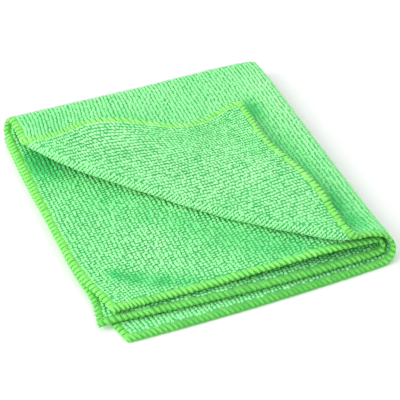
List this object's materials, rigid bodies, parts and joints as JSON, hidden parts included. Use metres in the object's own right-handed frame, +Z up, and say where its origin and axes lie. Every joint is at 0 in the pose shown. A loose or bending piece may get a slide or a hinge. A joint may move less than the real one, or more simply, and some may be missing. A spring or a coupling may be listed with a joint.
{
  "type": "microfibre cloth",
  "caption": "Terry microfibre cleaning cloth with stitched hems, lying folded in quarters with the free corner of its top layer turned back.",
  "frame": {"origin": "middle of the cloth's bounding box, on the surface that it rests on", "axes": "+X runs to the second fold, which has no hem, +Y to the first fold, and +Z is up, away from the surface"},
  "size_m": [0.1494, 0.162, 0.0225],
  "materials": {
    "terry": "mint green looped pile, matt, with a lime overlocked hem"
  },
  "bodies": {
    "root": {"cloth": "terry"}
  },
  "joints": []
}
